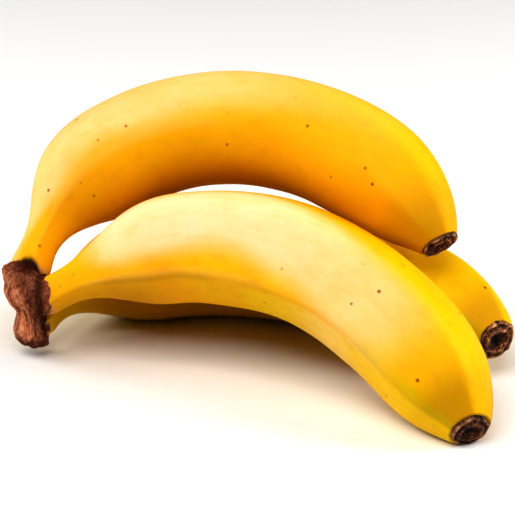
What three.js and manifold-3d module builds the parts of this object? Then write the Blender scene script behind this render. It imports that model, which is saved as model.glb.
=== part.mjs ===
// A hand of three ripe bananas that lies on its side on a table. Three curved fingers grow from one dried
// crown, and each finger ends in a dried blossom end. Millimetres and degrees, +Z up. The origin is on the
// table under the middle of the hand, and +X runs from the crown towards the tips.
import * as THREE from "three";
import { mergeVertices } from "three/addons/utils/BufferGeometryUtils.js";
import Module from "manifold-3d";

// Sizes that the three fingers share. The section is drawn towards a rounded pentagon: strength 0 leaves it
// round, and a higher sharpness gives the five ridges a tighter edge.
const NECK_RADIUS = 6.1;
const TIP_RADIUS = 7.4;
const TIP_ROUNDING = 2.5;
const RIDGE_COUNT = 5;
const RIDGE_SHARPNESS = 10;
const RIDGE_STRENGTH = 0.45;

// One row of sizes for each finger. The centre line is an arch in the finger's own XZ plane:
// neck is where it leaves the crown, and heading, pitch and roll turn that plane from there.
// length runs along the centre line, and bend is its whole turn from neck to tip.
// neckCurl moves the bend towards the neck, and endCurl moves it towards both ends.
// radius is the girth's, reached at share fullFrom of the length. From share taperFrom on, the tip narrows.
// ridgeTurn is the place of one ridge, turned about the centre line from the outside of the curve.
const FINGERS = [
  {
    name: "upper",
    neck: [-76.3, 15.7, 31],
    heading: -1.2, pitch: -13.2, roll: -49.7,
    length: 181, bend: 144.4, neckCurl: 0.29, endCurl: 0.07,
    radius: 20, fullFrom: 0.27, taperFrom: 0.73, ridgeTurn: -92,
  },
  {
    name: "front",
    neck: [-69.7, 6.6, 23.5],
    heading: -21.7, pitch: 2.4, roll: -46.8,
    length: 174.5, bend: 91.9, neckCurl: 0.3, endCurl: -0.32,
    radius: 19.8, fullFrom: 0.28, taperFrom: 0.75, ridgeTurn: -143,
  },
  {
    name: "rear",
    neck: [-72.8, 12.9, 12.1],
    heading: 5.9, pitch: -3.2, roll: -81.9,
    length: 187.5, bend: 133.3, neckCurl: 0.5, endCurl: 0.34,
    radius: 19.6, fullFrom: 0.29, taperFrom: 0.74, ridgeTurn: 60,
  },
];

// The crown is a lumpy upright block with a stub towards each finger. Its middle line runs from bottom to
// top, and its half width is given along that line. A stub's lip stands a little past the base of its neck.
const CROWN_LINE = [
  [-74.2, 9.6, 2.6],
  [-75.9, 8.6, 8],
  [-76.5, 8.3, 16],
  [-78.5, 8.6, 24.5],
  [-79.1, 9.8, 31],
  [-78.6, 11.3, 35.5],
];
const CROWN_HALF_WIDTHS = [2.5, 5.8, 5.6, 7.4, 7, 3.5];
const CROWN_DEPTH_SHARE = 1.05;
const STUB_RADIUS = 7;
const STUB_ROOT_RADIUS = 5.5;
const STUB_DEPTH = 8;
const STUB_LIP = 0.8;

// The blossom end is a short plug with a shallow pit in its outer face
const BLOSSOM_RADIUS = 7;
const BLOSSOM_HEIGHT = 2.2;
const BLOSSOM_PIT_RADIUS = 4;
const BLOSSOM_PIT_DEPTH = 1.2;

// Clear space between pieces that touch
const GAP = 0.3;

// Fineness of the meshes
const POINTS_PER_RIDGE = 5;
const FINGER_STEPS = 36;
const CROWN_STEPS = 20;
const CROWN_POINTS = 28;
const BLOSSOM_POINTS = 24;
const MERGE_DISTANCE = 1e-4;

const DEGREE = Math.PI / 180;
const UP = new THREE.Vector3(0, 0, 1);

const peel = new THREE.MeshStandardMaterial({ color: "#f2bd16", roughness: 0.45, metalness: 0 });
const driedStalk = new THREE.MeshStandardMaterial({ color: "#6b3a22", roughness: 0.9, metalness: 0 });
const driedBlossom = new THREE.MeshStandardMaterial({ color: "#3b2417", roughness: 0.95, metalness: 0 });

const wasm = await Module();
wasm.setup();

// Joins the seam and the poles of a turned shape, and drops the triangles that shrank to a line there.
function closed(geometry) {
  geometry.deleteAttribute("uv");
  geometry.deleteAttribute("normal");
  const merged = mergeVertices(geometry, MERGE_DISTANCE);
  const index = merged.index.array;
  const kept = [];
  for (let i = 0; i < index.length; i += 3) {
    const [a, b, c] = index.slice(i, i + 3);
    if (a !== b && b !== c && c !== a) {
      kept.push(a, b, c);
    }
  }
  merged.setIndex(kept);
  merged.computeVertexNormals();
  return merged;
}

// Slope of a finger's centre line at share t of its length. It falls by the whole bend from neck to tip.
function slopeAt(finger, t) {
  const towardsNeck = finger.neckCurl * Math.sin(Math.PI * t) / Math.PI;
  const towardsEnds = finger.endCurl * Math.sin(2 * Math.PI * t) / (2 * Math.PI);
  return finger.bend * DEGREE * (0.5 - t - towardsNeck - towardsEnds);
}

// Radius of a finger at share t of its length: a slim neck, a full belly and a rounded tip.
function radiusAt(finger, t) {
  const swelling = THREE.MathUtils.smootherstep(t, 0, finger.fullFrom);
  const belly = THREE.MathUtils.lerp(NECK_RADIUS, finger.radius, swelling);
  const past = THREE.MathUtils.clamp((t - finger.taperFrom) / (1 - finger.taperFrom), 0, 1);
  return belly * (1 - (1 - TIP_RADIUS / finger.radius) * past ** TIP_ROUNDING);
}

// Outline of the section, as a share of the radius: a circle drawn part of the way to a rounded pentagon.
function ridgeShare(finger, angle) {
  const faceStep = 2 * Math.PI / RIDGE_COUNT;
  let sum = 0;
  for (let face = 0; face < RIDGE_COUNT; face += 1) {
    const faceAngle = finger.ridgeTurn * DEGREE + (face + 0.5) * faceStep;
    sum += Math.max(0, Math.cos(angle - faceAngle)) ** RIDGE_SHARPNESS;
  }
  const pentagon = sum ** (-1 / RIDGE_SHARPNESS);
  const atRidge = (2 * Math.cos(faceStep / 2) ** RIDGE_SHARPNESS) ** (-1 / RIDGE_SHARPNESS);
  const atFace = 1;
  return 1 + RIDGE_STRENGTH * (pentagon - (atRidge + atFace) / 2);
}

// Points of the centre line and the directions there, one for each ring of the mesh.
function centreLine(finger) {
  const stride = finger.length / FINGER_STEPS;
  const point = new THREE.Vector3();
  const rings = [];
  for (let ring = 0; ring <= FINGER_STEPS; ring += 1) {
    const slope = slopeAt(finger, ring / FINGER_STEPS);
    const along = new THREE.Vector3(Math.cos(slope), 0, Math.sin(slope));
    const outward = new THREE.Vector3(-Math.sin(slope), 0, Math.cos(slope));
    rings.push({ point: point.clone(), along, outward });
    const middle = slopeAt(finger, (ring + 0.5) / FINGER_STEPS);
    point.x += stride * Math.cos(middle);
    point.z += stride * Math.sin(middle);
  }
  return rings;
}

// Turns and moves a finger's own frame to its place in the hand.
function place(object, finger) {
  const { heading, pitch, roll } = finger;
  object.position.set(...finger.neck);
  object.rotation.set(roll * DEGREE, pitch * DEGREE, heading * DEGREE, "ZYX");
  object.updateMatrix();
}

// Flattens what would sink into the table, on a shape in a finger's own frame.
function pressOnTable(geometry, finger) {
  const frame = new THREE.Object3D();
  place(frame, finger);
  const tableNormal = UP.clone().applyQuaternion(frame.quaternion.invert());
  const positions = geometry.attributes.position;
  const vertex = new THREE.Vector3();
  for (let i = 0; i < positions.count; i += 1) {
    vertex.fromBufferAttribute(positions, i);
    const height = vertex.dot(tableNormal) + finger.neck[2];
    vertex.addScaledVector(tableNormal, Math.max(0, -height));
    positions.setXYZ(i, ...vertex);
  }
}

// A finger in its own frame: the girth profile is turned about an axis, and that axis is bent along the
// centre line. grow makes it larger all round.
function fingerGeometry(finger, grow = 0) {
  const profile = [new THREE.Vector2(0, 0)];
  for (let ring = 0; ring <= FINGER_STEPS; ring += 1) {
    profile.push(new THREE.Vector2(1, ring));
  }
  profile.push(new THREE.Vector2(0, FINGER_STEPS));
  const geometry = new THREE.LatheGeometry(profile, RIDGE_COUNT * POINTS_PER_RIDGE);
  const rings = centreLine(finger);
  const positions = geometry.attributes.position;
  const vertex = new THREE.Vector3();
  for (let i = 0; i < positions.count; i += 1) {
    vertex.fromBufferAttribute(positions, i);
    const ring = Math.round(vertex.y);
    const { point, along, outward } = rings[ring];
    const angle = Math.atan2(vertex.z, vertex.x);
    const reach = Math.hypot(vertex.x, vertex.z) * (radiusAt(finger, ring / FINGER_STEPS) + grow);
    const radius = reach * ridgeShare(finger, angle);
    vertex.copy(point).addScaledVector(outward, radius * Math.cos(angle));
    vertex.y += radius * Math.sin(angle);
    if (ring === 0) {
      vertex.addScaledVector(along, -grow);
    }
    positions.setXYZ(i, ...vertex);
  }
  pressOnTable(geometry, finger);
  return closed(geometry);
}

// Turns a shape that stands on its own Y axis to stand on a point of a finger's centre line.
function standAlong(geometry, { point, along }, lift) {
  geometry.applyQuaternion(new THREE.Quaternion().setFromUnitVectors(new THREE.Vector3(0, 1, 0), along));
  geometry.translate(...point.clone().addScaledVector(along, lift));
}

// The dried plug on the end face of a finger's tip, in the finger's own frame.
function blossomGeometry(finger) {
  const profile = [
    new THREE.Vector2(0, 0),
    new THREE.Vector2(BLOSSOM_RADIUS * 0.94, 0),
    new THREE.Vector2(BLOSSOM_RADIUS, BLOSSOM_HEIGHT * 0.35),
    new THREE.Vector2(BLOSSOM_RADIUS * 0.92, BLOSSOM_HEIGHT * 0.8),
    new THREE.Vector2((BLOSSOM_RADIUS + BLOSSOM_PIT_RADIUS) / 2, BLOSSOM_HEIGHT),
    new THREE.Vector2(BLOSSOM_PIT_RADIUS, BLOSSOM_HEIGHT - BLOSSOM_PIT_DEPTH * 0.6),
    new THREE.Vector2(0, BLOSSOM_HEIGHT - BLOSSOM_PIT_DEPTH),
  ];
  const geometry = new THREE.LatheGeometry(profile, BLOSSOM_POINTS);
  standAlong(geometry, centreLine(finger).at(-1), GAP);
  pressOnTable(geometry, finger);
  return closed(geometry);
}

// The stub of the crown that reaches to the base of a finger's neck, in the finger's own frame.
function stubGeometry(finger) {
  const height = STUB_DEPTH + STUB_LIP;
  const geometry = new THREE.CylinderGeometry(STUB_RADIUS, STUB_ROOT_RADIUS, height, CROWN_POINTS);
  standAlong(geometry, centreLine(finger)[0], STUB_LIP - height / 2);
  return closed(geometry);
}

// A closed mesh as a solid that can be joined and cut.
function solidOf(geometry) {
  const vertProperties = new Float32Array(geometry.attributes.position.array);
  const triVerts = new Uint32Array(geometry.index.array);
  return new wasm.Manifold(new wasm.Mesh({ numProp: 3, vertProperties, triVerts }));
}

// The uncut crown: round sections of changing width, stacked along its middle line.
function crownBlock() {
  const line = new THREE.CatmullRomCurve3(CROWN_LINE.map((point) => new THREE.Vector3(...point)));
  const widths = new THREE.SplineCurve(CROWN_HALF_WIDTHS.map((width, i) => new THREE.Vector2(i, width)));
  const profile = [new THREE.Vector2(0, 0)];
  for (let step = 0; step <= CROWN_STEPS; step += 1) {
    profile.push(new THREE.Vector2(widths.getPoint(step / CROWN_STEPS).y, step));
  }
  profile.push(new THREE.Vector2(0, CROWN_STEPS));
  const geometry = new THREE.LatheGeometry(profile, CROWN_POINTS);
  const positions = geometry.attributes.position;
  const vertex = new THREE.Vector3();
  for (let i = 0; i < positions.count; i += 1) {
    vertex.fromBufferAttribute(positions, i);
    const middle = line.getPoint(vertex.y / CROWN_STEPS);
    positions.setXYZ(i, middle.x + vertex.x, middle.y - vertex.z * CROWN_DEPTH_SHARE, middle.z);
  }
  return closed(geometry);
}

// The crown: its block and stubs in one, with a socket for each finger's neck.
function crownGeometry() {
  const frame = new THREE.Object3D();
  let solid = solidOf(crownBlock());
  for (const finger of FINGERS) {
    place(frame, finger);
    solid = solid.add(solidOf(stubGeometry(finger).applyMatrix4(frame.matrix)));
  }
  for (const finger of FINGERS) {
    place(frame, finger);
    solid = solid.subtract(solidOf(fingerGeometry(finger, GAP).applyMatrix4(frame.matrix)));
  }
  const { vertProperties, triVerts } = solid.getMesh();
  const geometry = new THREE.BufferGeometry();
  geometry.setAttribute("position", new THREE.BufferAttribute(vertProperties, 3));
  geometry.setIndex(new THREE.BufferAttribute(triVerts, 1));
  geometry.computeVertexNormals();
  return geometry;
}

// One piece of the hand, under its own name.
function piece(name, geometry, material) {
  const mesh = new THREE.Mesh(geometry, material);
  mesh.name = name;
  return mesh;
}

const hand = new THREE.Group();
hand.add(piece("crown", crownGeometry(), driedStalk));
for (const finger of FINGERS) {
  const group = new THREE.Group();
  place(group, finger);
  group.add(piece(`${finger.name}_banana`, fingerGeometry(finger), peel));
  group.add(piece(`${finger.name}_blossom_end`, blossomGeometry(finger), driedBlossom));
  hand.add(group);
}

export default hand;
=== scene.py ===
"""Looks of a hand of three ripe bananas that lies on its side on a pale table.

Every piece is a numpy surface in metres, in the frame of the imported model: +X runs from the crown towards the
tips, +Y towards the back, +Z up, and the table is at z = 0.
"""

import math

import bpy
import numpy as np
from bpy.props import CollectionProperty, FloatProperty, FloatVectorProperty, PointerProperty, StringProperty
from mathutils import Euler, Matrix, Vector


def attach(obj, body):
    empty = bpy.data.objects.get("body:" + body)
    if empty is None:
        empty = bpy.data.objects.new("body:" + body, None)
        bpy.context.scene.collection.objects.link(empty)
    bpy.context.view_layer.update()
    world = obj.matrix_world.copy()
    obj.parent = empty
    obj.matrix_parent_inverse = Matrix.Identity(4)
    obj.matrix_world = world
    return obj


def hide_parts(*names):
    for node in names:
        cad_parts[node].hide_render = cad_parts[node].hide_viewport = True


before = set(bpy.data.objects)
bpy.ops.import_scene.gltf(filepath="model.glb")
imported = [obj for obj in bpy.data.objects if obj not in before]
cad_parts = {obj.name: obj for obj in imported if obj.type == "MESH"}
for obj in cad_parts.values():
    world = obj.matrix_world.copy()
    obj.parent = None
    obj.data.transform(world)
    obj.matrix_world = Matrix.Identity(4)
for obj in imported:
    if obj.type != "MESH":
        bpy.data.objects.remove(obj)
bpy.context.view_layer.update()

bl_info = {
    "name": "Hand of Bananas",
    "version": (1, 0, 0),
    "blender": (4, 5, 0),
    "location": "3D View > Sidebar > Bananas",
    "description": "Grows a hand of ripe bananas with its dried crown and blossom ends",
    "category": "Add Mesh",
}

MM = 0.001
DEGREE = math.radians(1)
BODY = "root"

# Each value of the upper, the front and the rear finger, in millimetres and degrees, close to the solids that
# they stand for. A finger's centre line is an arch in its own XZ plane, which roll, pitch and heading turn
# about the neck. Places along a finger are shares of its length, and places around it are turns from the
# outside of its curve towards its own +Y. FingerSettings says what each value is.
FINGER_NAMES = ("upper", "front", "rear")
FINGERS = {
    "neck": ((-75.8, 15.7, 30.8), (-69.7, 6.6, 23.5), (-72.8, 12.9, 12.1)),
    "turn": ((-49.7, -13.0, -1.2), (-46.8, 2.4, -21.7), (-81.9, -3.2, 5.9)),
    "length": (182.9, 174.9, 187.5),
    "bend": (146.3, 91.9, 133.3),
    "neck_curl": (0.285, 0.3, 0.5),
    "end_curl": (0.07, -0.32, 0.34),
    "radius": (19.7, 19.5, 19.4),
    "full_from": (0.277, 0.28, 0.295),
    "taper_from": (0.73, 0.75, 0.74),
    "neck_radius": (6.0, 6.1, 5.1),
    "heel": (0.7, 0.0, 0.0),
    "shoulder": (0.0, 0.6, 0.0),
    "hollows": ((0.0, 0.0), (2.0, 1.3), (0.0, 0.0)),
    "tip_radius": (7.1, 7.1, 7.6),
    "tip_lean": ((0.0, -0.12), (0.07, 0.19), (0.0, 0.0)),
    "ridge_turn": (-112.0, -143.0, -140.0),
    "twist": (0.0, 6.0, 0.0),
    "ridge_strength": (0.12, 0.75, 0.4),
    "flare": (2.6, 0.6, 0.0),
    "flare_turn": (30.0, 0.0, 0.0),
    "collar_gap": (8.4, 3.7, 6.4),
    "collar_radius": (6.2, 6.5, 4.6),
    "collar_lift": (0.0, 1.8, 0.0),
    "brown_start": (3.8, 3.2, 7.2),
    "creep": (3.9, 0.0, 0.4),
    "creep_turn": (-89.0, 0.0, -120.0),
    "bloom": ((0.56, 0.12), (1.0, 0.6), (0.15, 0.15)),
    "bloom_from": (-0.1, 0.06, 0.06),
    "bloom_turn": ((-60.0, -52.0), (-77.0, -106.0), (-60.0, -60.0)),
    "bloom_width": ((62.0, 48.0), (59.0, 59.0), (50.0, 50.0)),
    "amber": (0.5, 0.1, 0.0),
    "lemon": ((0.0, 0.6), (0.1, 0.8), (1.0, 1.0)),
    "clear_under": (0.0, 1.0, 0.0),
    "ochre": (0.6, 0.05, 0.7),
    "ridge_shade": (0.0, 0.5, 0.0),
    "russet": (0.0, 0.4, 0.7),
    "russet_reach": (0.3, 0.3, 0.9),
    "green": (0.0, 0.5, 0.6),
}

# The crown from bottom to top, in millimetres: height, middle across, middle in depth and half width
CROWN_LEVELS = np.array(
    [
        (3.5, -75.0, 9.2, 2.6),
        (4.3, -75.5, 9.1, 4.3),
        (5.8, -76.5, 8.8, 5.2),
        (8.2, -77.0, 8.5, 5.5),
        (13.0, -76.9, 8.3, 5.5),
        (17.8, -76.6, 8.3, 5.4),
        (21.6, -77.3, 8.5, 5.7),
        (25.0, -78.4, 8.6, 6.7),
        (28.6, -78.6, 9.0, 6.5),
        (31.4, -80.2, 9.8, 5.2),
        (33.0, -81.0, 10.3, 4.2),
        (34.0, -81.3, 10.6, 1.8),
    ]
)

RIDGE_COUNT = 5
FACE_STEP = 2 * math.pi / RIDGE_COUNT
SIDEWAYS = np.array([0, 1, 0])
LINE_STEPS = 720
LATTICE = 32

# Places around a finger: the side that lies towards the table, the inside of the curve and the outer shoulder
TABLE_SIDE = 165 * DEGREE
INNER_SIDE = 175 * DEGREE
OUTER_SIDE = -29 * DEGREE

# Sockets of a colour mix: the colour under, the colour over it, and the result
UNDER, OVER, MIXED = 6, 7, 2


def linear(code):
    """An sRGB hex colour as the linear values that shaders work with."""
    shares = (int(code[i : i + 2], 16) / 255 for i in (1, 3, 5))
    return tuple(s / 12.92 if s <= 0.04045 else ((s + 0.055) / 1.055) ** 2.4 for s in shares)


def number(name, description, value, **kind):
    """A number that a user may change."""
    return FloatProperty(name=name, description=description, default=value, **kind)


def size(name, description, millimetres):
    """A length that a user may change."""
    return number(name, description, millimetres * MM, min=0, unit="LENGTH")


def colour(name, description, code):
    """A colour that a user may change."""
    return FloatVectorProperty(
        name=name, description=description, default=linear(code), size=3, min=0, max=1, subtype="COLOR"
    )


def of_finger(key, description, scale=1.0, **kind):
    """A value of a finger that a user may change. Its default is the front finger's."""
    name = key.replace("_", " ").title()
    _, front, _ = FINGERS[key]
    value = np.multiply(front, scale).tolist()
    if isinstance(value, float):
        return number(name, description, value, **kind)
    return FloatVectorProperty(name=name, description=description, default=value, size=len(value), **kind)


class FingerSettings(bpy.types.PropertyGroup):
    """Sizes and colour shares of one finger. main fills them from the table of fingers."""

    name: StringProperty(name="Name", description="Which finger of the hand this is", default="front")
    neck: of_finger("neck", "Where the finger leaves the crown", MM, subtype="TRANSLATION")
    turn: of_finger("turn", "Roll, pitch and heading of the finger's arch", DEGREE, subtype="EULER")
    length: of_finger("length", "Length along the centre line", MM, unit="LENGTH")
    bend: of_finger("bend", "Whole turn from neck to tip", DEGREE, subtype="ANGLE")
    neck_curl: of_finger("neck_curl", "Moves the bend towards the neck")
    end_curl: of_finger("end_curl", "Moves the bend towards both ends")
    radius: of_finger("radius", "Radius at the girth", MM, unit="LENGTH")
    full_from: of_finger("full_from", "Share of the length where the girth is reached")
    taper_from: of_finger("taper_from", "Share of the length where the tip begins to narrow")
    neck_radius: of_finger("neck_radius", "Radius of the neck at the crown", MM, unit="LENGTH")
    heel: of_finger("heel", "Extra fullness where the neck ends outside", MM, unit="LENGTH")
    shoulder: of_finger("shoulder", "Extra fullness of the outer side before the tip", MM, unit="LENGTH")
    hollows: of_finger("hollows", "Depths of two hollows under the belly's start and end", MM, unit="LENGTH")
    tip_radius: of_finger("tip_radius", "Radius of the tip's end", MM, unit="LENGTH")
    tip_lean: of_finger("tip_lean", "Slope of the tip's end face outwards and sideways")
    ridge_turn: of_finger("ridge_turn", "Place of the main ridge around", DEGREE, subtype="ANGLE")
    twist: of_finger("twist", "Turn of the ridges on the way to the tip", DEGREE, subtype="ANGLE")
    ridge_strength: of_finger("ridge_strength", "How far the section goes from round to five-sided")
    flare: of_finger("flare", "How far the neck's base spreads to one side", MM, unit="LENGTH")
    flare_turn: of_finger("flare_turn", "Place of that side around", DEGREE, subtype="ANGLE")
    collar_gap: of_finger("collar_gap", "From the neck's start back to its collar's end", MM, unit="LENGTH")
    collar_radius: of_finger("collar_radius", "Radius of that collar", MM, unit="LENGTH")
    collar_lift: of_finger("collar_lift", "How far that end stands higher", MM, unit="LENGTH")
    brown_start: of_finger("brown_start", "From the neck's start back to its brown end", MM, unit="LENGTH")
    # Painted shadow of the crease, up one side of the neck
    creep: of_finger("creep", "How far the brown creeps up the neck on one side", MM, unit="LENGTH")
    creep_turn: of_finger("creep_turn", "Place of that side around", DEGREE, subtype="ANGLE")
    # The pale band: partly the peel's powdery coat, partly a painted highlight
    bloom: of_finger("bloom", "Strength of the pale, dusty band along the finger, early and late")
    bloom_from: of_finger("bloom_from", "Share of the length where that band begins")
    bloom_turn: of_finger("bloom_turn", "Place of that band around, early and late", DEGREE, unit="ROTATION")
    bloom_width: of_finger("bloom_width", "Half width of that band, early and late", DEGREE, unit="ROTATION")
    amber: of_finger("amber", "How warm the yellow is all over the finger")
    # Clearer yellow: partly the peel's own, partly painted light on the outer facet
    lemon: of_finger("lemon", "How clear the yellow is, all over and on the outer side towards the tip")
    # Painted light on the face under the main ridge
    clear_under: of_finger("clear_under", "How clear the yellow under the main ridge is")
    # Painted shade on the inside of the curve
    ochre: of_finger("ochre", "How dull the inner side of the curve is")
    # Painted shade under the main ridge
    ridge_shade: of_finger("ridge_shade", "How dull the skin is just under the main ridge")
    # Painted red-brown shade on the side towards the table
    russet: of_finger("russet", "How rusty the side towards the table is near the neck")
    russet_reach: of_finger("russet_reach", "Share of the length where that side is yellow again")
    green: of_finger("green", "How green the main ridge is towards the tip")


class PeelSettings(bpy.types.PropertyGroup):
    """What the three peels share."""

    lip: size("Lip", "Radius of the rolled edge around a blossom end", 0.75)
    tip_rounding: number("Tip Rounding", "How late and round the tip narrows", 2.5)
    ridge_sharpness: number("Ridge Sharpness", "How tight a ridge's edge is", 14)
    end_ridge_strength: number("End Ridge Strength", "Ridge strength at the neck and the tip", 0.75)
    yellow: colour("Yellow", "Ripe peel", "#F5BE04")
    # Lemon: partly the peel's own yellow, partly painted light
    lemon: colour("Lemon", "Clearer yellow on the outer side towards the tip", "#F6CA02")
    amber: colour("Amber", "Riper, warmer patches", "#F2AC02")
    # Ochre: the colour of the duller mottles and of painted shade
    ochre: colour("Ochre", "Duller skin on the inner side of the curve", "#CA9602")
    # Straw: the colour of the powdery band and of painted highlights
    straw_highlight: colour("Straw", "Pale, dusty bloom", "#FAD9A8")
    olive: colour("Olive", "Peel that ripens last, at the ends", "#BCB400")
    tan: colour("Tan", "Dry skin next to the crown and the blossom ends", "#CF9660")
    # Rust: the colour of painted shade on the side towards the table
    shade_brown: colour("Rust", "Riper skin near the table", "#964E00")
    speck: colour("Speck", "Specks and freckles", "#883404")
    # Bruise: browned edges, and a painted shadow of the crease on one neck
    bruise_and_shadow: colour("Bruise", "Browned edges", "#341206")


class CrownSettings(bpy.types.PropertyGroup):
    """Sizes and colours of the dried crown."""

    fibre_height: size("Fibre Height", "Height of the fibres", 0.26)
    dry_skin: colour("Dry Skin", "Dried outer skin", "#C67650")
    dry_fibre: colour("Dry Fibre", "Pale edges of torn fibres", "#F2BE9A")
    # Dark Fold: the colour of dark fibre gaps and of painted shade in the furrows and on the side towards the
    # necks
    dark_fold_and_shade: colour("Dark Fold", "Furrows and folds", "#3A0E02")


class BlossomSettings(bpy.types.PropertyGroup):
    """Sizes and colours of the dried blossom ends."""

    inset: size("Inset", "From a tip's edge to its blossom end's edge", 0.8)
    height: size("Height", "Height of its rim above the tip's end face", 2.1)
    crust: colour("Crust", "Dried, dark flesh", "#6C3820")
    rim: colour("Rim", "Tan rim and rings", "#F0B482")
    # Pit: the black middle, and painted shade between the crumbs
    pit_and_shade: colour("Pit", "Black middle and hollows", "#120806")


class StageSettings(bpy.types.PropertyGroup):
    """Table, light and camera."""

    table: colour("Table", "Pale painted board", "#EFEEEC")
    target: FloatVectorProperty(
        name="Target",
        description="Point in the middle of the picture",
        default=(0.6 * MM, 4.6 * MM, 38 * MM),
        size=3,
        subtype="TRANSLATION",
    )
    distance: size("Distance", "From the target to the camera", 700)
    elevation: number("Elevation", "Camera above the horizon", 22 * DEGREE, subtype="ANGLE")
    picture_width: size("Picture Width", "Width of the view at the target", 173.05)
    key_power: number("Key Light", "Power of the softbox overhead", 32.5, unit="POWER")
    left_power: number("Left Light", "Power of the softbox at the left", 7, unit="POWER")
    right_power: number("Right Light", "Power of the softbox at the right", 10.5, unit="POWER")
    ambient: number("Ambient", "Brightness of the room", 0.03)
    contrast: number("Contrast", "Power that deepens the picture's shades", 1.35)


class HandSettings(bpy.types.PropertyGroup):
    """Everything about the hand and its stage."""

    fingers: CollectionProperty(type=FingerSettings)
    peel: PointerProperty(type=PeelSettings)
    crown: PointerProperty(type=CrownSettings)
    blossom: PointerProperty(type=BlossomSettings)
    stage: PointerProperty(type=StageSettings)


def smooth_rise(x, start=0.0, end=1.0):
    """Rises smoothly from 0 at the start to 1 at the end, and stays level outside."""
    share = np.clip((x - start) / (end - start), 0, 1)
    return share * share * share * (share * (6 * share - 15) + 10)


def between(x, start, full, fade, end):
    """Rises smoothly from 0 at the start to 1 at full, and falls again from fade to 0 at the end."""
    return smooth_rise(x, start, full) - smooth_rise(x, fade, end)


def bump(x, middle, width):
    """A bell curve of height 1 about the middle."""
    return np.exp(-(((x - middle) / width) ** 2))


def from_to(pair, share):
    """A value on the way from the first of a pair, at share 0, to the second, at share 1."""
    return pair[0] + (pair[1] - pair[0]) * share


def turn_off(angle, place):
    """How far round an angle is from a place, between 0 and half a turn."""
    return np.arccos(np.cos(angle - place))


def facing(angle, place):
    """1 on the side at a place around, falling smoothly to 0 on the far side."""
    return smooth_rise(0.5 + 0.5 * np.cos(angle - place))


def smooth_through(x, places, values):
    """A smooth curve through values at places: between two of them a cubic with the mean slopes there."""
    slopes = np.gradient(values, places)
    left = np.clip(np.searchsorted(places, x) - 1, 0, len(places) - 2)
    width = places[left + 1] - places[left]
    s = np.clip((x - places[left]) / width, 0, 1)
    from_left = (1 + 2 * s) * values[left] + s * width * slopes[left]
    from_right = (3 - 2 * s) * values[left + 1] - (1 - s) * width * slopes[left + 1]
    return (1 - s) ** 2 * from_left + s**2 * from_right


def soft_noise(points, cell, seed):
    """Smooth noise from -1 to 1: random values on a cubic lattice of that cell size, blended between the
    eight corners around each point. A cell with three sizes stretches the noise."""
    values = np.random.default_rng(seed).uniform(-1, 1, (LATTICE, LATTICE, LATTICE))
    scaled = points / np.asarray(cell)
    corner = np.floor(scaled).astype(int)
    part = scaled - corner
    part = part * part * (3 - 2 * part)
    total = 0
    for step in np.ndindex(2, 2, 2):
        share = np.prod(np.where(step, part, 1 - part), axis=-1)
        x, y, z = np.moveaxis((corner + step) % LATTICE, -1, 0)
        total = total + share * values[x, y, z]
    return total


def closed_skin(name, rings, start, end, marks, material):
    """A closed piece over rings of points: quads join each ring to the next, and fans join the first and last
    ring to the start and end points. marks are values kept at the points for the material."""
    count, around = rings.shape[:2]
    here = np.arange(count * around).reshape(count, around)
    beside = np.roll(here, -1, axis=1)
    quads = np.stack((here[:-1], here[1:], beside[1:], beside[:-1]), -1).reshape(-1, 4)
    first = np.full(around, count * around)
    fans = np.concatenate(
        (np.stack((first, here[0], beside[0]), -1), np.stack((first + 1, beside[-1], here[-1]), -1))
    )
    mesh = bpy.data.meshes.new(name)
    points = np.concatenate((rings.reshape(-1, 3), [start], [end]))
    mesh.from_pydata(points.tolist(), [], quads.tolist() + fans.tolist())
    for mark, values in marks.items():
        parts = values.shape[2:]
        at_ends = np.stack((values[0].mean(0), values[-1].mean(0)))
        flat = np.concatenate((values.reshape(-1, *parts), at_ends))
        kind, field = ("FLOAT_VECTOR", "vector") if parts else ("FLOAT", "value")
        attribute = mesh.attributes.new(mark, kind, "POINT")
        attribute.data.foreach_set(field, flat.astype(np.float32).ravel())
    mesh.materials.append(material)
    mesh.shade_smooth()
    mesh.validate()
    piece = bpy.data.objects.new(name, mesh)
    bpy.context.scene.collection.objects.link(piece)
    return piece


def slope_at(finger, t):
    """Slope of a finger's centre line at share t of its length: it falls evenly by the whole bend, and two
    sines move part of the bend towards the neck and towards both ends."""
    to_neck = finger.neck_curl * np.sin(np.pi * t) / np.pi
    to_ends = finger.end_curl * np.sin(2 * np.pi * t) / (2 * np.pi)
    return finger.bend * (0.5 - t - to_neck - to_ends)


def centre_line(finger, t):
    """Points of a finger's centre line at shares t of its length, with the directions forward and outward
    there. The points are the running sum of short steps along the slope."""
    ends = np.linspace(0, 1, LINE_STEPS + 1)
    slope = slope_at(finger, (ends[:-1] + ends[1:]) / 2)
    step = finger.length / LINE_STEPS
    x = np.concatenate(([0], np.cumsum(np.cos(slope)))) * step
    z = np.concatenate(([0], np.cumsum(np.sin(slope)))) * step
    slope = slope_at(finger, t)
    nothing = np.zeros_like(t)
    point = np.stack((np.interp(t, ends, x), nothing, np.interp(t, ends, z)), -1)
    forward = np.stack((np.cos(slope), nothing, np.sin(slope)), -1)
    outward = np.stack((-np.sin(slope), nothing, np.cos(slope)), -1)
    return point, forward, outward


def in_hand(finger, points):
    """Points of a finger's own frame at their place in the hand, pressed flat where they would sink into the
    table."""
    turn = np.array(Euler(finger.turn, "XYZ").to_matrix())
    moved = points @ turn.T + np.array(finger.neck)
    moved[..., 2] = np.maximum(moved[..., 2], 0)
    return moved


def girth(finger, peel, t):
    """Radius of a finger at share t of its length: a slim neck swells to the belly, and the tip narrows by a
    power of the way past the taper's start."""
    belly = from_to((finger.neck_radius, finger.radius), smooth_rise(t, 0, finger.full_from))
    past = np.clip((t - finger.taper_from) / (1 - finger.taper_from), 0, 1)
    return belly * (1 - (1 - finger.tip_radius / finger.radius) * past**peel.tip_rounding)


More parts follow.
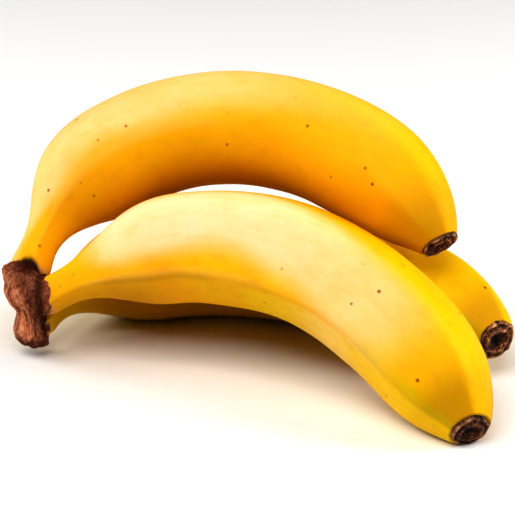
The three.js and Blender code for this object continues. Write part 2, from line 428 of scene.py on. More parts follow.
def five_sides(angle, ridge_turn, sharpness):
    """How far the section is on the way from a face, 0, to a ridge, 1, and how far a ridge stands out. Five
    planes about the middle are the faces, and a high power mean of their distances rounds the ridges."""
    faces = np.arange(RIDGE_COUNT) + 0.5
    towards = np.cos(angle[..., None] - ridge_turn[..., None] - faces * FACE_STEP)
    outline = (np.maximum(towards, 0) ** sharpness).sum(-1) ** (-1 / sharpness)
    at_ridge = (2 * math.cos(FACE_STEP / 2) ** sharpness) ** (-1 / sharpness)
    return (outline - 1) / (at_ridge - 1), at_ridge - 1


def ridged(finger, peel, t, angle, ridge_turn):
    """The section's outline as a share of the girth: part of the way from round to five-sided, more so at the
    ends than along the belly, and most at the main ridge."""
    ridge, ridge_rise = five_sides(angle, ridge_turn, peel.ridge_sharpness)
    near_ends = np.maximum(1 - smooth_rise(t, 0, 0.3), smooth_rise(t, 0.72, 1))
    strength = from_to((finger.ridge_strength, peel.end_ridge_strength), near_ends)
    rounded_tip = 1 - 0.6 * smooth_rise(t, 0.93, 1)
    main_ridge = bump(turn_off(angle, ridge_turn), 0, 45 * DEGREE)
    return 1 + strength * rounded_tip * ridge_rise * (0.6 + 0.4 * main_ridge) * (ridge - 0.5)


def swellings(finger, t, angle):
    """How far a finger stands out on one side: a flared base, a heel with a dip before it, a shoulder before
    the tip, and two hollows towards the table. Each is a bell curve along and a soft half around."""
    flare = finger.flare * bump(t * finger.length, -3 * MM, 7 * MM) * facing(angle, finger.flare_turn)
    heel = finger.heel * (bump(t, 0.165, 0.045) - 0.9 * bump(t, 0.08, 0.035)) * facing(angle, -40 * DEGREE)
    shoulder = finger.shoulder * bump(t, 0.9, 0.09) * facing(angle, 0)
    hollow = finger.hollows[0] * bump(t, 0.26, 0.08) + finger.hollows[1] * bump(t, 0.79, 0.09)
    return flare + heel + shoulder - hollow * facing(angle, TABLE_SIDE)


def finger_rings(finger, peel):
    """Where the rings of a finger stand, as three columns: their share of the length, how far ahead of that
    place they are, and how far they are drawn in. They run from inside the crown along the body to a rolled
    lip, an arc from the taper's slope to straight back, and a shallow cup for the blossom end."""
    body_rings, root_rings, lip_rings = 300, 29, 13
    root_depth, root_inset = finger.collar_gap + 2 * MM, 1.5 * MM
    taper_end = math.radians(34)
    cup_ahead = -0.9 * MM * np.array([0.5, 0.9, 1])
    cup_inset = MM * np.array([0.2, 1.2, 3.2])
    to_root = np.linspace(1, 0, root_rings + 1)[:-1]
    roll = np.linspace(taper_end, math.pi, lip_rings + 1)[1:]
    rolled_on = peel.lip * (np.sin(roll) - math.sin(taper_end))
    rolled_in = peel.lip * (math.cos(taper_end) - np.cos(roll))
    level = np.zeros(body_rings)
    at_tip = np.ones(lip_rings + len(cup_ahead))
    t = np.concatenate((np.zeros(root_rings), np.linspace(0, 1, body_rings), at_tip))
    ahead = np.concatenate((-root_depth * to_root, level, rolled_on, rolled_on[-1] + cup_ahead))
    inset = np.concatenate((root_inset * to_root**2, level, rolled_in, rolled_in[-1] + cup_inset))
    return t[:, None], ahead[:, None], inset[:, None]


def end_marks(finger, t, ahead, angle, ridge_turn, grown, seed):
    """Marks of the two ends, from 0 to 1. Browned is the dark edge at the crown, with a painted shadow of the
    crease that reaches up one side of the neck; it frays to a mid brown further in and comes back faintly at
    the tip's lip. Dry is the tan skin next to it. Green is where the peel ripens last: inside the neck, and on
    the main ridge's end."""
    ragged = soft_noise(grown, 5 * MM, seed + 3)
    frayed = soft_noise(grown, 1.8 * MM, seed + 5)
    from_crown = t * finger.length + ahead + finger.brown_start + 0.5 * MM * ragged
    from_tip = (1 - t) * finger.length - ahead + 0.15 * MM * ragged
    # Painted shadow of the crease between the crown and the neck, up one side of the neck
    creep = finger.creep * bump(turn_off(angle, finger.creep_turn), 0, 36 * DEGREE) + 0.8 * MM * frayed
    brown_edge = 1 - smooth_rise(from_crown - creep, -1.6 * MM, 1.6 * MM)
    brown_edge = brown_edge * (1 - (0.42 + 0.22 * frayed) * smooth_rise(-from_crown, 0, 3 * MM))
    brown_lip = 0.35 - 0.35 * smooth_rise(from_tip, -0.4 * MM, 0)
    from_main = turn_off(angle, ridge_turn)
    ripe_last = bump(from_main, 0, 9 * DEGREE) + 0.2 * bump(from_main, 0, 45 * DEGREE)
    green_neck = 0.05 * (1 - smooth_rise(t, 0, 0.2)) * facing(angle, math.pi)
    green_tip = finger.green * smooth_rise(t, 0.68, 0.82) * ripe_last
    return {
        "browned_and_shadow": np.maximum(brown_edge, brown_lip),
        "dry": 0.85 - 0.85 * smooth_rise(from_crown, 0, 3.4 * MM),
        "green": np.maximum(green_neck, green_tip),
    }


def face_marks(finger, t, angle, ridge_turn, grown, seed):
    """Marks of the faces, from 0 to 1. Bloom is a pale band that moves around on the way to the tip: partly the
    peel's powdery coat, partly a painted highlight. Lemon is the clear yellow of the outer side towards the
    tip, partly painted light, and painted light on the face under the main ridge. Ochre is painted shade on the
    inside of the curve and in a line under the main ridge, and a duller tip that is partly painted shade.
    Russet is painted shade on the side towards the table, edge is a painted highlight along the main ridge, and
    amber is the same all over."""
    # A pale band: partly the peel's powdery coat, partly a painted highlight
    late = smooth_rise(t, 0.38, 0.8)
    bloom_turn = from_to(finger.bloom_turn, late) + 55 * DEGREE * (1 - smooth_rise(t, 0, 0.16))
    bloom_turn = bloom_turn - 0.1 * soft_noise(grown, 22 * MM, seed + 4)
    off_band = turn_off(angle, bloom_turn) / from_to(finger.bloom_width, late)
    bloom = from_to(finger.bloom, late) * (1 - smooth_rise(off_band, 0.3, 1))
    bloom = bloom * between(t, finger.bloom_from, finger.bloom_from + 0.12, 0.73, 0.9)

    # The face under the main ridge is painted lighter, as if lit by light bounced from the table: painted light
    past_ridge = math.pi - (angle - ridge_turn + math.pi) % (2 * math.pi)
    under_face = between(past_ridge, 0, 16 * DEGREE, 70 * DEGREE, 110 * DEGREE)
    clear = finger.clear_under * under_face * smooth_rise(t, 0.36, 0.5)
    # The outer facet towards the tip is a clearer yellow: partly the peel's own, partly painted light
    outer_side = 1 - smooth_rise(turn_off(angle, OUTER_SIDE), 22 * DEGREE, 46 * DEGREE)
    lemon = finger.lemon[1] * outer_side * (smooth_rise(t, 0.5, 0.8) - 0.4 * smooth_rise(t, 0.88, 0.98))

    # Painted shade: darker ochre on the inside of the curve and in a line under the main ridge, and a duller
    # tip, partly painted shade, that fades on the lit outer facet
    inner_side = bump(turn_off(angle, INNER_SIDE), 0, 45 * DEGREE)
    inner_shade = finger.ochre * inner_side * between(t, 0.03, 0.18, 0.7, 1)
    tip_dull_and_shade = smooth_rise(t, 0.87, 0.99) * (0.95 - 0.7 * np.maximum(outer_side, clear))
    below_ridge = bump(turn_off(angle, ridge_turn - 7 * DEGREE), 0, 5 * DEGREE)
    shade_under_ridge = finger.ridge_shade * below_ridge * between(t, 0.05, 0.15, 0.3, 0.42)

    # Painted shade, red-brown, on the side towards the table near the neck
    table_side = bump(turn_off(angle, TABLE_SIDE), 0, 55 * DEGREE)
    yellow_again = smooth_rise(t, finger.russet_reach / 2, finger.russet_reach)
    near_neck = 0.5 + 0.5 * smooth_rise(t, 0, 0.2) - yellow_again
    # A painted highlight along the main ridge
    on_ridge = bump(turn_off(angle, ridge_turn), 0, 5 * DEGREE)
    return {
        "bloom": np.maximum(bloom, 0.35 * clear * bump(t, 0.68, 0.09)),
        "lemon": np.maximum(np.maximum(lemon, finger.lemon[0]), clear),
        "ochre": np.maximum(np.maximum(inner_shade, tip_dull_and_shade), shade_under_ridge),
        "russet": np.maximum(finger.russet * table_side * near_neck, 0),
        "edge": on_ridge * between(t, 0, 0.12, 0.4, 0.6),
        "amber": np.full(grown.shape[:2], finger.amber),
    }


def finger_piece(finger, peel, seed, material):
    """One banana. Rings stand along the centre line, and a point's radius is the girth there times the ridged
    section, plus the swellings. Slow noise makes the ridges wander and the skin uneven. grown is the skin
    laid along a straight finger, for patterns that follow it."""
    points_around = 200
    t, ahead, inset = finger_rings(finger, peel)
    angle = np.linspace(0, 2 * math.pi, points_around, endpoint=False)
    station = t * finger.length
    on_line = np.stack((station, np.zeros_like(t), np.zeros_like(t)), -1)
    wander = 5 * DEGREE * soft_noise(on_line, 45 * MM, seed)
    ridge_turn = finger.ridge_turn + finger.twist * smooth_rise(t, 0.3, 0.65) + wander
    radius = girth(finger, peel, t) * ridged(finger, peel, t, angle, ridge_turn)
    grown = np.stack(np.broadcast_arrays(station, radius * np.cos(angle), radius * np.sin(angle)), -1)
    uneven = 0.3 * MM * soft_noise(grown, 26 * MM, seed + 1) + 0.09 * MM * soft_noise(grown, 8 * MM, seed + 2)
    radius = radius + uneven * smooth_rise(t, 0, 0.1) + swellings(finger, t, angle) - inset
    point, forward, outward = centre_line(finger, t)
    middle = point + forward * ahead[..., None]
    spread = outward * np.cos(angle)[:, None] + SIDEWAYS * np.sin(angle)[:, None]
    lean = finger.tip_lean[0] * np.cos(angle) + finger.tip_lean[1] * np.sin(angle)
    lean = radius * lean * smooth_rise(t, 0.92, 1)
    rings = middle + radius[..., None] * spread + lean[..., None] * forward
    marks = {
        "grown": grown,
        **end_marks(finger, t, ahead, angle, ridge_turn, grown, seed),
        **face_marks(finger, t, angle, ridge_turn, grown, seed),
    }
    start, end = in_hand(finger, middle[[0, -1], 0])
    return closed_skin(f"{finger.name}_peel", in_hand(finger, rings), start, end, marks, material)


def collar_bars(hand):
    """The round bar inside the crown for each neck: its start on the crown's middle line, its end behind the
    neck's start, and its radius."""
    levels, across, depthwise, _ = CROWN_LEVELS.T * MM
    lowest_start, highest_start = 12 * MM, 26 * MM
    bars = []
    for finger in hand.fingers:
        neck = np.array(finger.neck)
        _, forward, _ = centre_line(finger, np.zeros(1))
        forward = np.array(Euler(finger.turn, "XYZ").to_matrix()) @ forward[0]
        height = np.clip(neck[2], lowest_start, highest_start)
        start = np.array([np.interp(height, levels, part) for part in (across, depthwise, levels)])
        end = neck - finger.collar_gap * forward + finger.collar_lift * np.array([0, 0, 1])
        bars.append((start, end, finger.collar_radius))
    return bars


def crown_depth(points, collars):
    """How far points lie outside the crown, below 0 inside it. The block is a stack of soft-cornered squares
    about the middle line, with a corner to the front that leans to the left higher up. A collar is a round
    bar from that line to a neck. A smooth minimum joins them."""
    corner_power, cap_steepness, blend = 1.6, 3, 3 * MM
    height = points[..., 2]
    levels, across, depthwise, widths = CROWN_LEVELS.T * MM
    beyond = np.maximum(levels[0] - height, 0) + np.maximum(height - levels[-1], 0)
    half_width = smooth_through(height, levels, widths) - cap_steepness * beyond
    back = points[..., 1] - smooth_through(height, levels, depthwise)
    skew = 0.5 * smooth_rise(height, 16 * MM, 34 * MM)
    aside = points[..., 0] - smooth_through(height, levels, across) - skew * back
    depth = (np.abs(aside) ** corner_power + np.abs(back) ** corner_power) ** (1 / corner_power) - half_width
    for start, end, collar_radius in collars:
        bar = end - start
        along = np.clip((points - start) @ bar / (bar @ bar), 0, 1)
        to_bar = np.linalg.norm(points - start - along[..., None] * bar, axis=-1) - collar_radius
        share = np.clip(0.5 + 0.5 * (to_bar - depth) / blend, 0, 1)
        depth = to_bar + (depth - to_bar) * share - blend * share * (1 - share)
    return depth


def crown_rays(rows, columns):
    """Rays that leave the crown's middle line, first downwards, then to all sides, then upwards: where each
    row starts, and the direction of each ray."""
    levels, across, depthwise, _ = CROWN_LEVELS.T * MM
    lowest_start, start_range = 8 * MM, 22 * MM
    u = np.linspace(0, 1, rows + 2)[1:-1]
    lift = np.pi * (u - 0.5)
    lift = lift * (0.45 + 0.55 * (2 * np.abs(u - 0.5)) ** 2)
    height = lowest_start + start_range * smooth_rise(0.04 + 0.92 * u)
    middle = (smooth_through(height, levels, across), smooth_through(height, levels, depthwise), height)
    turn = np.linspace(0, 2 * np.pi, columns, endpoint=False)
    level = np.cos(lift)[:, None]
    upward = np.broadcast_to(np.sin(lift)[:, None], (rows, columns))
    rays = np.stack((level * np.cos(turn), -level * np.sin(turn), upward), -1)
    return np.stack(middle, -1)[:, None], rays


def crown_shade(points, lumps):
    """How much shade is painted on the crown's skin, from 0 to 1: most on the side towards the necks, past a
    line that leans to the left higher up, in the crease under the upper neck, and at the bottom."""
    crease = np.array([-77, 10, 33]) * MM
    crease_stretch = np.array([0.45, 0.26, 0.87])
    height = points[..., 2]
    ridge_line = -75 * MM - 0.33 * (height - 9 * MM)
    past_ridge = points[..., 0] - ridge_line + 1.5 * MM * lumps
    to_necks = points[..., 0] + 75.5 * MM + MM * lumps
    shaded = 0.72 * smooth_rise(past_ridge, -1.5 * MM, 4.5 * MM) + 0.3 * smooth_rise(to_necks, 0, 3 * MM)
    shaded = shaded * (1 - 0.5 * smooth_rise(to_necks, 3 * MM, 6 * MM))
    from_crease = np.linalg.norm((points - crease) * crease_stretch, axis=-1) + 0.4 * MM * lumps
    shaded = np.maximum(shaded, 1.07 * bump(from_crease, 0, 4 * MM))
    return np.maximum(shaded, 0.85 - 0.85 * smooth_rise(height + MM * lumps, 5.5 * MM, 11.5 * MM))


def crown_piece(hand, material):
    """The dried crown. Halving steps find where each ray from the middle line leaves the crown. Long fibres,
    lumps and furrows, which are noise along a swirled path, then move the surface along its ray."""
    rows, columns, halvings = 230, 260, 22
    origin, rays = crown_rays(rows, columns)
    collars = collar_bars(hand)
    near = np.zeros((rows, columns))
    far = np.full((rows, columns), 30 * MM)
    for _ in range(halvings):
        half = (near + far) / 2
        inside = crown_depth(origin + half[..., None] * rays, collars) < 0
        near = np.where(inside, half, near)
        far = np.where(inside, far, half)
    points = origin + near[..., None] * rays
    swirled = points + 1.6 * MM * np.stack([soft_noise(points, 6 * MM, seed) for seed in (41, 42, 43)], -1)
    strands = soft_noise(swirled, (1.1 * MM, 1.1 * MM, 6 * MM), 44)
    fine = soft_noise(swirled, (0.5 * MM, 0.5 * MM, 2.2 * MM), 45)
    lumps = soft_noise(points, 4.5 * MM, 46)
    furrow = bump(soft_noise(swirled, (4 * MM, 4 * MM, 11 * MM), 47), 0, 0.2)
    relief = 0.5 * MM * lumps + hand.crown.fibre_height * (strands + 0.6 * fine) - 0.35 * MM * furrow
    rings = points + relief[..., None] * rays
    marks = {
        # Hollow is painted shade: darkest in the furrows and where the relief is low
        "hollow": np.clip(0.42 * furrow - 0.3 * strands - 0.24 * lumps - 0.24 * fine, 0, 1),
        "strand": strands,
        "shaded": crown_shade(points, lumps),
    }
    return closed_skin("dried_crown", rings, rings[0].mean(0), rings[-1].mean(0), marks, material)


def blossom_piece(finger, blossom, seed, material):
    """One dried blossom end. A profile runs from the middle of its underside out over the edge and back to
    the middle of its top: a rim, a groove, an inner ring and a dip in the middle. Noise crumbles the edge."""
    columns = 96
    edge_at, sunk = 0.96, -1.0 * MM
    under = np.linspace(0.2, edge_at, 6)
    edge = np.linspace(0, 1, 12)
    top = np.linspace(edge_at, 0.02, 64)
    share = np.concatenate((under, edge_at + (1 - edge_at) * np.sin(np.pi * edge), top))
    rim_and_groove = 0.2 * bump(top, 0.9, 0.05) - 0.15 * bump(top, 0.78, 0.05)
    ring_and_pit = 0.35 * bump(top, 0.56, 0.15) - 0.5 * bump(top, 0, 0.22)
    face = blossom.height * (0.45 + rim_and_groove + ring_and_pit)
    height = np.concatenate((np.full(len(under), sunk), sunk + (face[0] - sunk) * edge, face))
    on_top = np.concatenate((np.zeros(len(under)), smooth_rise(edge), np.ones(len(top))))
    angle = np.linspace(0, 2 * np.pi, columns, endpoint=False)
    around = np.stack((np.cos(angle), np.sin(angle), np.zeros(columns)), -1)
    flat = share[:, None, None] * around * (finger.tip_radius - blossom.inset)
    uneven_edge = 1 + 0.08 * soft_noise(flat, 4 * MM, seed) + 0.06 * soft_noise(flat, 1.6 * MM, seed + 1)
    crumbs = 0.4 * soft_noise(flat, 1.7 * MM, seed + 2) + 0.22 * soft_noise(flat, 0.8 * MM, seed + 3)
    tilt = 0.35 * soft_noise(flat, 6 * MM, seed + 4)
    reach = flat[..., :2] * uneven_edge[..., None]
    lifted = height[:, None] + on_top[:, None] * (crumbs + tilt) * 0.75 * MM
    lifted = lifted + reach @ np.array(finger.tip_lean)
    point, forward, outward = (part[0] for part in centre_line(finger, np.ones(1)))
    rings = point + forward * lifted[..., None] + outward * reach[..., :1] + SIDEWAYS * reach[..., 1:]
    tan_rings = (bump(share, 0.92, 0.06) + 0.45 * bump(share, 0.6, 0.06)) * on_top
    marks = {
        "rim": np.clip(tan_rings[:, None] * (0.75 + 0.7 * crumbs), 0, 1),
        "from_middle": share[:, None] + 0.05 * crumbs,
        # Painted shade in the low spots between the crumbs
        "hollow": np.clip(0.5 - 1.1 * crumbs, 0, 1),
        "grown": np.concatenate((flat[..., :2], lifted[..., None]), -1),
    }
    start, end = in_hand(finger, np.stack((point + forward * sunk, rings[-1].mean(0))))
    name = f"{finger.name}_dried_blossom"
    return closed_skin(name, in_hand(finger, rings), start, end, marks, material)


def add(tree, kind, inputs=None, output=0, **settings):
    """Adds a node, gives it its settings, and fills its inputs by name or number: a socket is linked, and any
    other value is set. Returns its first output, or the one asked for."""
    node = tree.nodes.new("ShaderNode" + kind)
    for name, value in settings.items():
        setattr(node, name, value)
    for key, value in (inputs or {}).items():
        if isinstance(value, bpy.types.NodeSocket):
            tree.links.new(value, node.inputs[key])
        else:
            node.inputs[key].default_value = value
    return node.outputs[output] if node.outputs else None


def new_material(name):
    """An empty material with its node tree."""
    material = bpy.data.materials.new(name)
    material.use_nodes = True
    material.node_tree.nodes.clear()
    return material, material.node_tree


def rgba(values):
    """A linear colour with its alpha."""
    return (*values, 1.0)


def peel_material(peel):
    """Waxy banana peel, as grown: a smooth, faintly streaked skin with a wide, soft gloss from its wax. Coats
    of colour lie over each other: broad patches from yellow to amber, a clearer yellow that is partly painted
    light, painted shade on the inside of the curve, at the tip, under the ridge and towards the table, mottles,
    a pale, powdery band that is partly a painted highlight, a painted highlight along the ridge, olive and tan
    ends, small brown specks, and brown edges with a painted shadow of the crease up one neck."""
    material, tree = new_material("waxy banana peel")
    grown = add(tree, "Attribute", output="Vector", attribute_name="grown")
    names = ("amber", "lemon", "ochre", "russet", "bloom", "edge", "green", "dry", "browned_and_shadow")
    mark = {name: add(tree, "Attribute", output="Fac", attribute_name=name) for name in names}
    # Broad patches, about 35 mm across
    patch = add(tree, "TexNoise", {"Vector": grown, "Scale": 1 / (35 * MM), "Detail": 2.0})
    warm = add(tree, "MapRange", {"Value": patch, "From Min": 0.35, "From Max": 0.65})
    # Paler clouds, about 14 mm across
    cloud = add(tree, "TexNoise", {"Vector": grown, "Scale": 1 / (14 * MM), "Detail": 3.0})
    pale = add(tree, "MapRange", {"Value": cloud, "From Min": 0.45, "From Max": 0.8, "To Max": 0.6})
    # Duller mottles, about 3 mm wide and 6 mm long
    mottled = add(tree, "Mapping", {"Vector": grown, "Scale": (0.5, 1.0, 1.0)})
    mottle = add(tree, "TexNoise", {"Vector": mottled, "Scale": 1 / (3 * MM), "Detail": 5.0})
    dull = add(tree, "MapRange", {"Value": mottle, "From Min": 0.5, "From Max": 0.7, "To Max": 0.22})
    # The pale, powdery band, partly a painted highlight, broken by the clouds and worn off by the mottles
    thin = add(tree, "MapRange", {"Value": cloud, "To Min": 0.62, "To Max": 1.33})
    wear = {"Value": mottle, "From Min": 0.4, "From Max": 0.62, "To Min": 1.03, "To Max": 0.91}
    worn = add(tree, "MapRange", wear)
    broken = add(tree, "Math", {0: worn, 1: thin}, operation="MULTIPLY")
    dusty_highlight = add(tree, "Math", {0: mark["bloom"], 1: broken}, operation="MULTIPLY", use_clamp=True)
    # A paler line along the main ridge: a painted highlight
    ridge_highlight = add(tree, "Math", {0: mark["edge"], 1: 0.08}, operation="MULTIPLY")
    # Fine streaks along the finger, about 1.2 mm wide and 30 mm long
    drawn_out = add(tree, "Mapping", {"Vector": grown, "Scale": (0.04, 1.0, 1.0)})
    streak = add(tree, "TexNoise", {"Vector": drawn_out, "Scale": 1 / (1.2 * MM), "Detail": 2.0})
    streaky = add(tree, "MapRange", {"Value": streak, "From Min": 0.5, "From Max": 0.75, "To Max": 0.1})
    # Olive where the peel ripens last, in clouds
    unripe = add(tree, "Math", {0: mark["green"], 1: cloud}, operation="MULTIPLY")
    unripe = add(tree, "Math", {0: unripe, 1: 1.5}, operation="MULTIPLY", use_clamp=True)
    # Specks up to 1.7 mm across with a soft edge, at most one in each cube of 7 mm, gathered by the clouds
    speck = add(tree, "TexVoronoi", {"Vector": grown, "Scale": 1 / (7 * MM)})
    dot = add(tree, "MapRange", {"Value": speck, "From Min": 0.12, "From Max": 0.04, "To Max": 0.9})
    gathered = add(tree, "MapRange", {"Value": cloud, "From Min": 0.44, "From Max": 0.6})
    spotted = add(tree, "Math", {0: dot, 1: gathered}, operation="MULTIPLY")
    # Freckles of about 0.4 mm
    freckle = add(tree, "TexVoronoi", {"Vector": grown, "Scale": 1 / (4.3 * MM)})
    freckled = add(tree, "MapRange", {"Value": freckle, "From Min": 0.06, "From Max": 0.02, "To Max": 0.4})
    coats = (
        (warm, peel.amber),
        (pale, peel.yellow),
        (mark["amber"], peel.amber),
        # Partly painted light
        (mark["lemon"], peel.lemon),
        # Painted shade
        (mark["ochre"], peel.ochre),
        # Painted shade towards the table
        (mark["russet"], peel.shade_brown),
        (dull, peel.ochre),
        # Partly a painted highlight
        (dusty_highlight, peel.straw_highlight),
        # A painted highlight along the ridge
        (ridge_highlight, peel.straw_highlight),
        (streaky, peel.amber),
        (unripe, peel.olive),
        (mark["dry"], peel.tan),
        (spotted, peel.speck),
        (freckled, peel.speck),
        # Browned edges, and a painted shadow of the crease
        (mark["browned_and_shadow"], peel.bruise_and_shadow),
    )
    base = rgba(peel.yellow)
    for share, coat in coats:
        layers = {"Factor": share, UNDER: base, OVER: rgba(coat)}
        base = add(tree, "Mix", layers, output=MIXED, data_type="RGBA")
    rough = add(tree, "MapRange", {"Value": streak, "To Min": 0.44, "To Max": 0.58})
    rough = add(tree, "Math", {0: mark["browned_and_shadow"], 1: 0.3, 2: rough}, operation="MULTIPLY_ADD")
    # Pores are finer on a real peel: 0.7 mm is as fine as the picture shows
    pores = add(tree, "TexNoise", {"Vector": grown, "Scale": 1 / (0.7 * MM), "Detail": 2.0})
    relief = add(tree, "Math", {0: streak, 1: 0.6, 2: pores}, operation="MULTIPLY_ADD")
    normal = add(tree, "Bump", {"Height": relief, "Strength": 0.12, "Distance": 0.3 * MM})
    skin = {
        "Base Color": base,
        "Roughness": rough,
        "Normal": normal,
        "IOR": 1.4,
        "Specular IOR Level": 0.1,
        "Subsurface Weight": 0.08,
        "Subsurface Radius": (1.0, 0.5, 0.1),
        "Subsurface Scale": 2 * MM,
    }
    add(tree, "OutputMaterial", {"Surface": add(tree, "BsdfPrincipled", skin)})
    return material


def crown_material(crown):
    """Dried stalk, shrunk and torn: matt, reddish brown and fibrous. Raised strands are paler and powdery, and
    shade is painted almost black into the furrows, the crease and the side towards the necks."""
    material, tree = new_material("dried banana stalk")
    where = add(tree, "TexCoord", output="Object")
    names = ("hollow", "strand", "shaded")
    mark = {name: add(tree, "Attribute", output="Fac", attribute_name=name) for name in names}
    # Fibres about 0.5 mm wide and 1.5 mm long that run up the crown, as fine as the picture shows
    upright = add(tree, "Mapping", {"Vector": where, "Scale": (1.0, 1.0, 0.34)})
    fibre = add(tree, "TexNoise", {"Vector": upright, "Scale": 1 / (0.5 * MM), "Detail": 3.0})
    raised = add(tree, "MapRange", {"Value": mark["strand"], "From Max": 0.8, "To Max": 0.4})
    gap = add(tree, "MapRange", {"Value": fibre, "From Min": 0.48, "From Max": 0.38, "To Max": 0.45})
    shade_share = add(tree, "Math", {0: mark["shaded"], 1: 0.93}, operation="MULTIPLY")
    # Pale threads, fewer where shade is painted
    thread = add(tree, "MapRange", {"Value": fibre, "From Min": 0.56, "From Max": 0.68, "To Max": 0.42})
    bare = add(tree, "Math", {0: shade_share, 1: -0.88, 2: 1.0}, operation="MULTIPLY_ADD")
    thread = add(tree, "Math", {0: thread, 1: bare}, operation="MULTIPLY")
    coats = (
        (raised, crown.dry_fibre),
        (gap, crown.dark_fold_and_shade),
        (mark["hollow"], crown.dark_fold_and_shade),
        (shade_share, crown.dark_fold_and_shade),
        (thread, crown.dry_fibre),
    )
    base = rgba(crown.dry_skin)
    for share, coat in coats:
        layers = {"Factor": share, UNDER: base, OVER: rgba(coat)}
        base = add(tree, "Mix", layers, output=MIXED, data_type="RGBA")
    normal = add(tree, "Bump", {"Height": fibre, "Strength": 0.5, "Distance": 0.3 * MM})
    bark = {"Base Color": base, "Roughness": 0.75, "Normal": normal, "Specular IOR Level": 0.05}
    add(tree, "OutputMaterial", {"Surface": add(tree, "BsdfPrincipled", bark)})
    return material


def blossom_material(blossom):
    """Dried flower remnant, withered on the fruit: a matt, crumbly crust in rings, tan at the rim and black
    in the middle, with shade painted dark between the crumbs."""
    material, tree = new_material("dried blossom crust")
    grown = add(tree, "Attribute", output="Vector", attribute_name="grown")
    names = ("rim", "from_middle", "hollow")
    mark = {name: add(tree, "Attribute", output="Fac", attribute_name=name) for name in names}
    # Flakes and crumbs about 0.8 mm across
    grain = add(tree, "TexNoise", {"Vector": grown, "Scale": 1 / (0.8 * MM), "Detail": 3.0})
    flake = add(tree, "MapRange", {"Value": grain, "From Min": 0.52, "From Max": 0.66, "To Max": 0.65})
    core = add(tree, "MapRange", {"Value": mark["from_middle"], "From Min": 0.34, "From Max": 0.16})
    coats = (
        (mark["rim"], blossom.rim),
        (flake, blossom.rim),
        (core, blossom.pit_and_shade),
        # Painted shade between the crumbs
        (mark["hollow"], blossom.pit_and_shade),
    )
    base = rgba(blossom.crust)
    for share, coat in coats:
        layers = {"Factor": share, UNDER: base, OVER: rgba(coat)}
        base = add(tree, "Mix", layers, output=MIXED, data_type="RGBA")
    normal = add(tree, "Bump", {"Height": grain, "Strength": 0.5, "Distance": 0.3 * MM})
    crust = {"Base Color": base, "Roughness": 0.8, "Normal": normal, "Specular IOR Level": 0.15}
    add(tree, "OutputMaterial", {"Surface": add(tree, "BsdfPrincipled", crust)})
    return material


def table_material(stage):
    """Painted board: matt, pale, with a trace of unevenness in its sheen, about 90 mm across."""
    material, tree = new_material("pale painted board")
    where = add(tree, "TexCoord", output="Object")
    cloud = add(tree, "TexNoise", {"Vector": where, "Scale": 1 / (90 * MM)})
    rough = add(tree, "MapRange", {"Value": cloud, "To Min": 0.6, "To Max": 0.75})
    board = {"Base Color": rgba(stage.table), "Roughness": rough, "Specular IOR Level": 0.2}
    add(tree, "OutputMaterial", {"Surface": add(tree, "BsdfPrincipled", board)})
    return material


def hand_in(piece, node):
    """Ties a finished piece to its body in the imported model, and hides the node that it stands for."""
    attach(piece, BODY)
    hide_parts(node)


class BANANAS_OT_grow_fingers(bpy.types.Operator):
    """Grow the three bananas"""

    bl_idname = "bananas.grow_fingers"
    bl_label = "Grow Fingers"

    def execute(self, context):
        hand = context.scene.banana_hand
        material = peel_material(hand.peel)
        for number, finger in enumerate(hand.fingers):
            piece = finger_piece(finger, hand.peel, 10 * number, material)
            hand_in(piece, f"{finger.name}_banana")
        return {"FINISHED"}


class BANANAS_OT_grow_crown(bpy.types.Operator):
    """Grow the dried crown that holds the fingers"""

    bl_idname = "bananas.grow_crown"
    bl_label = "Grow Crown"

    def execute(self, context):
        hand = context.scene.banana_hand
        piece = crown_piece(hand, crown_material(hand.crown))
        hand_in(piece, "crown")
        return {"FINISHED"}


class BANANAS_OT_grow_blossom_ends(bpy.types.Operator):
    """Grow the dried blossom end on each tip"""

    bl_idname = "bananas.grow_blossom_ends"
    bl_label = "Grow Blossom Ends"

    def execute(self, context):
        hand = context.scene.banana_hand
        material = blossom_material(hand.blossom)
        for number, finger in enumerate(hand.fingers):
            piece = blossom_piece(finger, hand.blossom, 60 + 10 * number, material)
            hand_in(piece, f"{finger.name}_blossom_end")
        return {"FINISHED"}


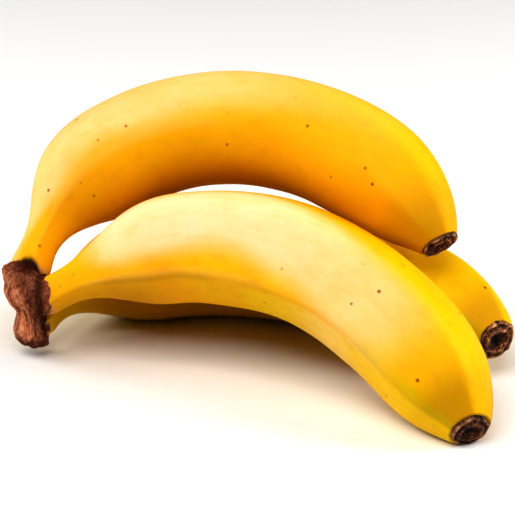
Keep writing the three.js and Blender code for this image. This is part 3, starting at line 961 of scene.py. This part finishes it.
class BANANAS_OT_set_stage(bpy.types.Operator):
    """Set the table, the light and the camera"""

    bl_idname = "bananas.set_stage"
    bl_label = "Set Stage"

    def execute(self, context):
        scene = context.scene
        stage = scene.banana_hand.stage
        table_half = 4.0
        mesh = bpy.data.meshes.new("table")
        corners = [(x * table_half, y * table_half, 0) for x, y in ((-1, -1), (1, -1), (1, 1), (-1, 1))]
        mesh.from_pydata(corners, [], [(0, 1, 2, 3)])
        mesh.materials.append(table_material(stage))
        table = bpy.data.objects.new("table", mesh)
        scene.collection.objects.link(table)

        # Power, place and size of each softbox, in watts and metres. All of them face the target.
        target = Vector(stage.target)
        softboxes = {
            "key": (stage.key_power, (-0.30, -0.90, 1.60), (1.58, 1.22)),
            "left": (stage.left_power, (-0.9, 0.15, 0.6), (0.6, 0.6)),
            "right": (stage.right_power, (0.95, 0.05, 0.65), (0.6, 0.6)),
        }
        for name, (power, place, (width, depth)) in softboxes.items():
            lamp = bpy.data.lights.new(name, "AREA")
            lamp.shape = "RECTANGLE"
            lamp.size = width
            lamp.size_y = depth
            lamp.energy = power
            light = bpy.data.objects.new(name, lamp)
            light.location = place
            light.rotation_mode = "QUATERNION"
            light.rotation_quaternion = (target - Vector(place)).to_track_quat("-Z", "Y")
            scene.collection.objects.link(light)

        world = bpy.data.worlds.new("studio")
        world.use_nodes = True
        room = world.node_tree.nodes["Background"]
        room.inputs["Color"].default_value = (1.0, 1.0, 1.0, 1.0)
        room.inputs["Strength"].default_value = stage.ambient
        scene.world = world
        scene.view_settings.view_transform = "Standard"
        scene.view_settings.gamma = 1 / stage.contrast

        lens = bpy.data.cameras.new("camera")
        lens.sensor_width = 36
        lens.lens = lens.sensor_width * stage.distance / stage.picture_width
        back = Vector((0, -math.cos(stage.elevation), math.sin(stage.elevation)))
        camera = bpy.data.objects.new("camera", lens)
        camera.location = target + back * stage.distance
        camera.rotation_mode = "QUATERNION"
        camera.rotation_quaternion = (-back).to_track_quat("-Z", "Y")
        scene.collection.objects.link(camera)
        scene.camera = camera
        return {"FINISHED"}


OPERATORS = (
    BANANAS_OT_grow_fingers,
    BANANAS_OT_grow_crown,
    BANANAS_OT_grow_blossom_ends,
    BANANAS_OT_set_stage,
)


class BANANAS_PT_hand(bpy.types.Panel):
    """Sizes, colours and steps of the hand"""

    bl_label = "Hand of Bananas"
    bl_space_type = "VIEW_3D"
    bl_region_type = "UI"
    bl_category = "Bananas"

    def draw(self, context):
        hand = context.scene.banana_hand
        for operator in OPERATORS:
            self.layout.operator(operator.bl_idname)
        for group in (*hand.fingers, hand.peel, hand.crown, hand.blossom, hand.stage):
            box = self.layout.box()
            for name in group.__annotations__:
                box.prop(group, name)


CLASSES = (
    FingerSettings,
    PeelSettings,
    CrownSettings,
    BlossomSettings,
    StageSettings,
    HandSettings,
    *OPERATORS,
    BANANAS_PT_hand,
)


def register():
    for cls in CLASSES:
        bpy.utils.register_class(cls)
    bpy.types.Scene.banana_hand = PointerProperty(type=HandSettings)


def unregister():
    del bpy.types.Scene.banana_hand
    for cls in reversed(CLASSES):
        bpy.utils.unregister_class(cls)


def fill_fingers(fingers):
    """Copies the table of fingers into the settings: lengths in metres, turns in radians."""
    scales = {"LENGTH": MM, "ROTATION": DEGREE}
    for index, name in enumerate(FINGER_NAMES):
        finger = fingers.add()
        finger.name = name
        for key, values in FINGERS.items():
            unit = finger.bl_rna.properties[key].unit
            setattr(finger, key, np.multiply(values[index], scales.get(unit, 1.0)))


def main():
    register()
    fill_fingers(bpy.context.scene.banana_hand.fingers)
    bpy.ops.bananas.grow_fingers()
    bpy.ops.bananas.grow_crown()
    bpy.ops.bananas.grow_blossom_ends()
    bpy.ops.bananas.set_stage()


if __name__ == "__main__":
    main()
